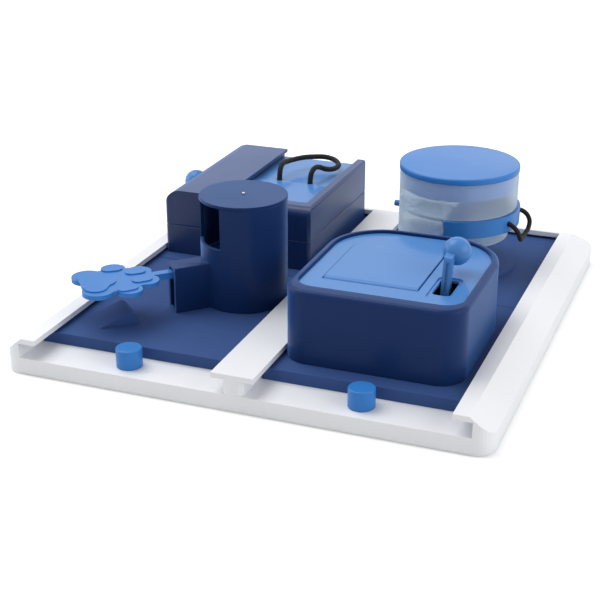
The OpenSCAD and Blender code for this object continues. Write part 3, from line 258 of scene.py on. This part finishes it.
def level_edges(bm):
    """The convex edges between a level face and an upright wall."""
    chosen = []
    for edge in bm.edges:
        if len(edge.link_faces) != 2 or edge.calc_face_angle_signed(0) < CONVEX_ANGLE:
            continue
        rises = sorted(abs(face.normal.z) for face in edge.link_faces)
        if rises[0] < STEEP_RISE and rises[1] > LEVEL_RISE:
            chosen.append(edge)
    return chosen


def bevel_edges(bm, edges, width, segments):
    bmesh.ops.bevel(bm, geom=edges, offset=width * MM, segments=segments, profile=0.5,
                    affect="EDGES", clamp_overlap=True, material=-1)


print("bevelled first:", sorted(OUTER_EDGES), sorted(LEVEL_FIRST))

# %% A copy of a part with soft edges
BODY_OF_NODE = {node: body for body, members in frame["record"]["behaviour"]["bodies"].items()
                for node in members}
SLOT_OF_NODE = {part["node"]: part["material_slot"] for part in frame["record"]["subparts"]}
# The modifier narrows its bevels next to short facets; these parts look right without that
FULL_WIDTH = {"tower_shell", "tower_cap", "tower_plate", "flap_box_shell", "flap_box_top"}
SAME_POINT, NO_LENGTH = 0.004 * MM, 0.002 * MM
FLAT_ANGLE, SHARP_ANGLE, BEVEL_ANGLE = 0.6, 28, 32  # degrees
EDGE_SEGMENTS = 3


def soften(node, width):
    """A copy that stands for the node, its edges rounded by a width in millimetres."""
    bm = bmesh.new()
    bm.from_mesh(node_objects[node].data)
    bmesh.ops.remove_doubles(bm, verts=bm.verts, dist=SAME_POINT)
    bmesh.ops.dissolve_degenerate(bm, dist=NO_LENGTH, edges=bm.edges)
    bmesh.ops.dissolve_limit(bm, angle_limit=math.radians(FLAT_ANGLE),
                             verts=bm.verts, edges=bm.edges)
    if node in OUTER_EDGES:
        height, wide, segments = OUTER_EDGES[node]
        bevel_edges(bm, outer_edges(bm, height), wide, segments)
    if node in LEVEL_FIRST:
        bevel_edges(bm, level_edges(bm), width, EDGE_SEGMENTS)
    piece = finish_mesh(bm, node + "_soft", SHARP_ANGLE)
    bevel = piece.modifiers.new("edges", "BEVEL")
    bevel.width = width * MM
    bevel.segments = EDGE_SEGMENTS
    bevel.limit_method = "ANGLE"
    bevel.angle_limit = math.radians(BEVEL_ANGLE)
    bevel.use_clamp_overlap = node not in FULL_WIDTH
    bevel.harden_normals = True
    bevel.miter_outer = "MITER_ARC"
    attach(piece, BODY_OF_NODE[node])
    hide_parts(node)
    return piece


print("parts with a body and a slot:", len(BODY_OF_NODE), len(SLOT_OF_NODE))

# %% Soften the parts of the board and of the four modules
EDGE_WIDTHS = {
    "base_tray": 0.8, "lock_peg_left": 0.35, "lock_peg_right": 0.35,
    "tower_plate": 0.4, "tower_shell": 0.5, "tower_cap": 0.5, "paw_lever": 0.5,
    "lift_platform": 0.3,
    "flap_box_plate": 0.4, "flap_box_shell": 0.5, "flap_box_top": 0.35, "flap": 0.4,
    "ball_lever": 0.4, "treat_cup": 0.3,
    "drawer_box_plate": 0.4, "drawer_box_base": 0.5, "drawer_box_cover": 0.6,
    "sliding_lid": 0.3, "side_drawer": 0.4,
    "drum_plate": 0.4, "drum_body": 0.3, "drum_lid": 0.4, "drum_tray": 0.4,
}
soft_pieces = {node: soften(node, width) for node, width in EDGE_WIDTHS.items()}
print("softened parts:", len(soft_pieces))

# %% [markdown]
# The middle of the tower's cap gets a small round dot, paler than the cap around it: a
# painted highlight. A painted dot would do for colour alone, but a low cone that stands
# just proud of the cap also catches the light.

# %% Painted highlight on the tower's cap
# A low cone of white plastic in the middle of the cap, a painted highlight
CAP_GLINT_PLACE = Vector((-45.2, -40.05, 95.0)) * MM
CAP_GLINT_FOOT, CAP_GLINT_TOP, CAP_GLINT_DEPTH = 1.05 * MM, 0.9 * MM, 0.36 * MM
bm = bmesh.new()
bmesh.ops.create_cone(bm, cap_ends=True, segments=24, radius1=CAP_GLINT_FOOT, radius2=CAP_GLINT_TOP,
                      depth=CAP_GLINT_DEPTH)
bmesh.ops.translate(bm, verts=bm.verts, vec=CAP_GLINT_PLACE)
cap_glint_dot = finish_mesh(bm, "cap_glint_dot")
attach(cap_glint_dot, "board")
# The pale dot printed here is a painted highlight on the cap
print("gate mark at", short(CAP_GLINT_PLACE))

# %% [markdown]
# ## Finishes
# All hard parts are moulded plastic. One colour and one gloss would look like paint, so
# three small effects are built once as node groups and placed in each material: a fine grain
# in the surface, slow colour drift from the moulding, and a faint film from handling that
# changes the gloss.

# %% Helpers for node groups
def new_group(name, inputs, outputs):
    tree = bpy.data.node_groups.new(name, "ShaderNodeTree")
    for label, default in inputs:
        socket = tree.interface.new_socket(label, in_out="INPUT", socket_type="NodeSocketFloat")
        socket.default_value = default
    for label, kind in outputs:
        tree.interface.new_socket(label, in_out="OUTPUT", socket_type=kind)
    return tree, tree.nodes.new("NodeGroupInput"), tree.nodes.new("NodeGroupOutput")


def link(tree, source, target):
    tree.links.new(source, target)


def feed(tree, value, socket):
    """Sets the socket to a number, or links another socket to it."""
    if isinstance(value, (int, float)):
        socket.default_value = value
    else:
        link(tree, value, socket)


def maths(tree, operation, a, b=None):
    node = tree.nodes.new("ShaderNodeMath")
    node.operation = operation
    for socket, value in zip(node.inputs, (a, b)):
        if value is not None:
            feed(tree, value, socket)
    return node.outputs[0]


def object_noise(tree, scale, detail, distortion=0.0):
    """Noise on the object's own coordinates, so that it stays put when a part moves."""
    coordinates = tree.nodes.new("ShaderNodeTexCoord")
    noise = tree.nodes.new("ShaderNodeTexNoise")
    link(tree, coordinates.outputs["Object"], noise.inputs["Vector"])
    for label, value in (("Scale", scale), ("Detail", detail), ("Distortion", distortion)):
        feed(tree, value, noise.inputs[label])
    return noise.outputs["Fac"]


# %% Grain, colour drift and handling film
PLASTIC_GRAIN = 900.0


def build_grain():
    tree, inputs, outputs = new_group(
        "moulded_grain", [("Scale", PLASTIC_GRAIN), ("Waves", 60.0), ("Waviness", 0.3)],
        [("Height", "NodeSocketFloat")])
    fine = object_noise(tree, inputs.outputs["Scale"], detail=2.0)
    wide = object_noise(tree, inputs.outputs["Waves"], detail=1.0)
    waves = maths(tree, "MULTIPLY", wide, inputs.outputs["Waviness"])
    link(tree, maths(tree, "ADD", fine, waves), outputs.inputs["Height"])
    return tree


def build_drift():
    tree, inputs, outputs = new_group(
        "colour_drift", [("Scale", 14.0), ("Amount", 0.05)], [("Factor", "NodeSocketFloat")])
    noise = object_noise(tree, inputs.outputs["Scale"], detail=3.0)
    centred = maths(tree, "SUBTRACT", noise, 0.5)
    swing = maths(tree, "MULTIPLY", centred, inputs.outputs["Amount"])
    link(tree, maths(tree, "ADD", swing, 1.0), outputs.inputs["Factor"])
    return tree


def build_film():
    tree, inputs, outputs = new_group(
        "handling_film", [("Low", 0.3), ("High", 0.45)], [("Roughness", "NodeSocketFloat")])
    noise = object_noise(tree, 35.0, detail=4.0, distortion=0.6)
    band = maths(tree, "SUBTRACT", inputs.outputs["High"], inputs.outputs["Low"])
    spread = maths(tree, "MULTIPLY", noise, band)
    link(tree, maths(tree, "ADD", spread, inputs.outputs["Low"]), outputs.inputs["Roughness"])
    return tree


grain_group, drift_group, film_group = build_grain(), build_drift(), build_film()
print("node groups:", [group.name for group in bpy.data.node_groups])


# %% A plastic from the three effects
def new_material(name):
    material = bpy.data.materials.new(name)
    material.use_nodes = True
    return material


def shader_of(material):
    return material.node_tree.nodes["Principled BSDF"]


def place_group(material, tree, **values):
    node = material.node_tree.nodes.new("ShaderNodeGroup")
    node.node_tree = tree
    for label, value in values.items():
        node.inputs[label].default_value = value
    return node


def add_film(material, low, high):
    film = place_group(material, film_group, Low=low, High=high)
    link(material.node_tree, film.outputs["Roughness"], shader_of(material).inputs["Roughness"])


def add_relief(material, height, depth):
    """Bump from a height that changes over the surface; depth is in millimetres."""
    relief = material.node_tree.nodes.new("ShaderNodeBump")
    relief.inputs["Strength"].default_value = 1.0
    relief.inputs["Distance"].default_value = depth * MM
    link(material.node_tree, height, relief.inputs["Height"])
    link(material.node_tree, relief.outputs["Normal"], shader_of(material).inputs["Normal"])


def plastic(name, colour, low, high, drift=0.06, grain=PLASTIC_GRAIN, bump=0.02, specular=0.5,
            sheen=(0.0, 0.5, (1.0, 1.0, 1.0)), coat=(0.0, 0.03)):
    """Low and high bound the roughness, and bump is in millimetres.

    Sheen is its weight, roughness and tint; coat is its weight and roughness.
    """
    material = new_material(name)
    tree, shader = material.node_tree, shader_of(material)
    shader.inputs["Specular IOR Level"].default_value = specular
    shader.inputs["Sheen Weight"].default_value = sheen[0]
    shader.inputs["Sheen Roughness"].default_value = sheen[1]
    shader.inputs["Sheen Tint"].default_value = (*sheen[2], 1)
    shader.inputs["Coat Weight"].default_value = coat[0]
    shader.inputs["Coat Roughness"].default_value = coat[1]
    tint = place_group(material, drift_group, Amount=drift)
    scaled = tree.nodes.new("ShaderNodeVectorMath")
    scaled.operation = "SCALE"
    scaled.inputs[0].default_value = colour
    link(tree, tint.outputs["Factor"], scaled.inputs["Scale"])
    link(tree, scaled.outputs[0], shader.inputs["Base Color"])
    add_film(material, low, high)
    height = place_group(material, grain_group, Scale=grain)
    add_relief(material, height.outputs["Height"], bump)
    return material


white_plastic = plastic("white_plastic", (0.82, 0.83, 0.85), 0.38, 0.5, drift=0.03, bump=0.012)
print("first plastic:", white_plastic.name, "with", len(white_plastic.node_tree.nodes), "nodes")

# %% [markdown]
# The modules are navy. Under wide soft light such plastic shows a blue bloom at grazing
# angles, which the sheen gives, with little of the hard gloss that a high specular level
# would add. The sliding plates are duller than the boxes, and the drawer box is a little
# shinier. The lids, levers and the drawer are two lighter blues under a thin coat.

# %% The coloured plastics, rubber and steel
NAVY_SHEEN_TINT = (0.16, 0.40, 1.0)
navy_plastic = plastic("navy_plastic", (0.007, 0.027, 0.110), 0.36, 0.46, drift=0.10,
                       specular=0.10, sheen=(0.9, 0.34, NAVY_SHEEN_TINT), coat=(0.05, 0.12))
navy_matte = plastic("navy_matte", (0.042, 0.086, 0.236), 0.6, 0.7, drift=0.10, bump=0.03,
                     specular=0.08, sheen=(0.1, 0.4, (0.10, 0.32, 1.0)))
navy_gloss = plastic("navy_gloss", (0.006, 0.025, 0.105), 0.34, 0.42, drift=0.10,
                     specular=0.38, sheen=(0.7, 0.34, NAVY_SHEEN_TINT), coat=(0.08, 0.10))
sky_plastic = plastic("sky_plastic", (0.060, 0.212, 0.530), 0.34, 0.44, drift=0.05,
                      specular=0.14, coat=(0.28, 0.10))
blue_plastic = plastic("blue_plastic", (0.032, 0.185, 0.530), 0.34, 0.44, drift=0.05,
                       specular=0.14, coat=(0.24, 0.10))
rubber = plastic("rubber", (0.02, 0.02, 0.022), 0.7, 0.85, drift=0.1, grain=500.0, bump=0.05)
steel = plastic("steel", (0.55, 0.55, 0.56), 0.3, 0.4, drift=0.04, bump=0.004)
shader_of(steel).inputs["Metallic"].default_value = 1.0
print("plastics so far:", sorted(material.name for material in bpy.data.materials))

# %% [markdown]
# The drum is milky, see-through plastic. Subsurface scattering would make it milky but not
# see-through, and plain glass the other way round. So light is let through a rough surface,
# on walls that have their real thickness, and comes out softened.

# %% Frosted plastic
FROSTED_TRANSMISSION = 0.83
FROSTED_IOR = 1.12
frosted_plastic = plastic("frosted_plastic", (0.84, 0.93, 1.0), 0.30, 0.38, drift=0.03,
                          bump=0.01, sheen=(0.8, 0.45, (0.68, 0.84, 1.0)))
shader_of(frosted_plastic).inputs["Transmission Weight"].default_value = FROSTED_TRANSMISSION
shader_of(frosted_plastic).inputs["IOR"].default_value = FROSTED_IOR
print("frosted plastic lets through", FROSTED_TRANSMISSION, "at an IOR of", FROSTED_IOR)

# %% [markdown]
# ## Braid
# The cord's yarns cross each other in two slanted directions. Real yarns could be swept as
# meshes, but at 4 mm a pattern reads as well and costs next to nothing. On the UV map it is
# two sets of stripes, one leaning left and one leaning right; where one dips the other
# rises, and the higher of the two is the surface.


# %% Braided cord
def braid(name, colour, strands=8.0, pitch=2.2, depth=0.25, shadow=0.35):
    """Depth is that of the grooves, in millimetres, and shadow their share of the colour."""
    material = new_material(name)
    tree, shader = material.node_tree, shader_of(material)
    shader.inputs["Sheen Weight"].default_value = 0.05
    shader.inputs["Specular IOR Level"].default_value = 0.25
    uv_map = tree.nodes.new("ShaderNodeUVMap")
    uv_map.uv_map = "UVMap"
    split = tree.nodes.new("ShaderNodeSeparateXYZ")
    link(tree, uv_map.outputs["UV"], split.inputs[0])
    around = maths(tree, "MULTIPLY", split.outputs["X"], strands)
    along = maths(tree, "MULTIPLY", split.outputs["Y"], pitch * strands / 4)
    ridges = []
    for operation in ("ADD", "SUBTRACT"):
        slant = maths(tree, operation, around, along)
        wave = maths(tree, "SINE", maths(tree, "MULTIPLY", slant, math.pi))
        ridges.append(maths(tree, "ABSOLUTE", wave))
    top = maths(tree, "MAXIMUM", *ridges)
    ramp = tree.nodes.new("ShaderNodeValToRGB")
    groove, crest = ramp.color_ramp.elements
    groove.color = (*[c * shadow for c in colour], 1)
    groove.position = 0.35
    crest.color = (*colour, 1)
    link(tree, top, ramp.inputs["Fac"])
    link(tree, ramp.outputs["Color"], shader.inputs["Base Color"])
    add_film(material, 0.6, 0.85)
    add_relief(material, top, depth)
    return material


cord_black = braid("cord_black", (0.009, 0.009, 0.011))
print("braid:", len(cord_black.node_tree.nodes), "nodes")

# %% [markdown]
# ## Which part gets which finish
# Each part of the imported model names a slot, and the slot names its finish. Only the navy
# parts differ among themselves, so a second table says which of them are duller or shinier.
# The knots of the cords are tucked away below the lid and inside the tray, so plain black
# rubber does for them.

# %% Give each part its finish
FINISHES = {
    "white_plastic": white_plastic, "navy_plastic": navy_plastic, "sky_plastic": sky_plastic,
    "blue_plastic": blue_plastic, "frosted_plastic": frosted_plastic, "black_cord": rubber,
    "steel": steel, "rubber": rubber,
}
NAVY_OF_NODE = {
    "tower_plate": navy_matte, "flap_box_plate": navy_matte, "drawer_box_plate": navy_matte,
    "drum_plate": navy_matte, "drawer_box_base": navy_gloss, "drawer_box_cover": navy_gloss,
}


def give_finish(piece, material):
    piece.data.materials.clear()
    piece.data.materials.append(material)


for node, piece in node_objects.items():
    give_finish(piece, FINISHES[SLOT_OF_NODE[node]])
for node, piece in soft_pieces.items():
    give_finish(piece, NAVY_OF_NODE.get(node, FINISHES[SLOT_OF_NODE[node]]))
for piece in (lid_cord, tray_cord):
    give_finish(piece, cord_black)
# The pale dot on the tower's cap is white plastic, a painted highlight
give_finish(cap_glint_dot, white_plastic)
print("materials:", sorted(material.name for material in bpy.data.materials))

# %% [markdown]
# ## Floor and light
# A white floor that fades into a white surround, and four large soft lamps: a key from the
# upper left, a low one on the left that reaches under the paw, a wide faint one behind that
# draws thin lines on the edges, and a fill from the right. More light on everything would
# make the background white too, but would bleach the colours. Instead the camera, gloss and
# see-through plastic meet a surround at full strength, while the object is lit by about half
# of it, and the floor glows a little for the camera alone and keeps the contact shadow.

# %% Floor
FLOOR_HALF_SIDE = 6.0
FLOOR_DROP = 0.0002
FLOOR_WHITE = 0.86
FLOOR_GLOW = 0.3
bm = bmesh.new()
bmesh.ops.create_grid(bm, x_segments=1, y_segments=1, size=FLOOR_HALF_SIDE)
floor = finish_mesh(bm, "floor")
floor.location.z = -FLOOR_DROP
floor_material = new_material("floor_white")
floor_shader = shader_of(floor_material)
floor_shader.inputs["Base Color"].default_value = (FLOOR_WHITE, FLOOR_WHITE, FLOOR_WHITE, 1)
floor_shader.inputs["Roughness"].default_value = 0.9
floor_shader.inputs["Specular IOR Level"].default_value = 0.1
tree = floor_material.node_tree
glow = tree.nodes.new("ShaderNodeEmission")
glow.inputs["Color"].default_value = (1, 1, 1, 1)
glow.inputs["Strength"].default_value = FLOOR_GLOW
both = tree.nodes.new("ShaderNodeAddShader")
link(tree, floor_shader.outputs[0], both.inputs[0])
link(tree, glow.outputs[0], both.inputs[1])
seen_floor = tree.nodes.new("ShaderNodeMixShader")
link(tree, tree.nodes.new("ShaderNodeLightPath").outputs["Is Camera Ray"],
     seen_floor.inputs["Fac"])
link(tree, floor_shader.outputs[0], seen_floor.inputs[1])
link(tree, both.outputs[0], seen_floor.inputs[2])
link(tree, seen_floor.outputs[0], tree.nodes["Material Output"].inputs["Surface"])
give_finish(floor, floor_material)
print("floor:", 2 * FLOOR_HALF_SIDE, "m wide")

# %% World
LIGHT_STRENGTH = 0.48
SEEN_STRENGTH = 1.0
world = bpy.data.worlds.new("studio")
scene.world = world
world.use_nodes = True
tree = world.node_tree
background = tree.nodes["Background"]
background.inputs["Color"].default_value = (0.97, 0.98, 1.0, 1)
background.inputs["Strength"].default_value = LIGHT_STRENGTH
bright = tree.nodes.new("ShaderNodeBackground")
bright.inputs["Color"].default_value = (1, 1, 1, 1)
bright.inputs["Strength"].default_value = SEEN_STRENGTH
rays = tree.nodes.new("ShaderNodeLightPath")
seen = maths(tree, "MAXIMUM", rays.outputs["Is Camera Ray"], rays.outputs["Is Glossy Ray"])
seen = maths(tree, "MAXIMUM", seen, rays.outputs["Is Transmission Ray"])
mix = tree.nodes.new("ShaderNodeMixShader")
link(tree, seen, mix.inputs["Fac"])
link(tree, background.outputs[0], mix.inputs[1])
link(tree, bright.outputs[0], mix.inputs[2])
link(tree, mix.outputs[0], tree.nodes["World Output"].inputs["Surface"])
print("world:", LIGHT_STRENGTH, "on the object,", SEEN_STRENGTH, "where it is seen")

# %% Lamps
BOARD_MIDDLE = (0, 0, 0)
ABOVE_BOARD = (0, 0, 0.03)
# Place, the point it faces, width and height in metres, and power in watts
LAMPS = {
    "key_lamp": ((-0.7, 0.12, 1.4), BOARD_MIDDLE, (1.2, 1.2), 16),
    "left_lamp": ((-1.3, -0.2, 0.45), ABOVE_BOARD, (1.0, 0.7), 3.5),
    "back_lamp": ((0.1, 1.6, 0.72), ABOVE_BOARD, (2.4, 0.8), 2),
    "fill_lamp": ((1.3, -0.1, 0.6), ABOVE_BOARD, (1.4, 0.8), 8),
}
for name, (place, aim, size, power) in LAMPS.items():
    lamp = bpy.data.objects.new(name, bpy.data.lights.new(name, "AREA"))
    scene.collection.objects.link(lamp)
    lamp.location = place
    lamp.rotation_mode = "QUATERNION"
    lamp.rotation_quaternion = (Vector(aim) - Vector(place)).to_track_quat("-Z", "Y")
    lamp.data.shape = "RECTANGLE"
    lamp.data.size, lamp.data.size_y = size
    lamp.data.energy = power
print("lamps:", list(LAMPS))
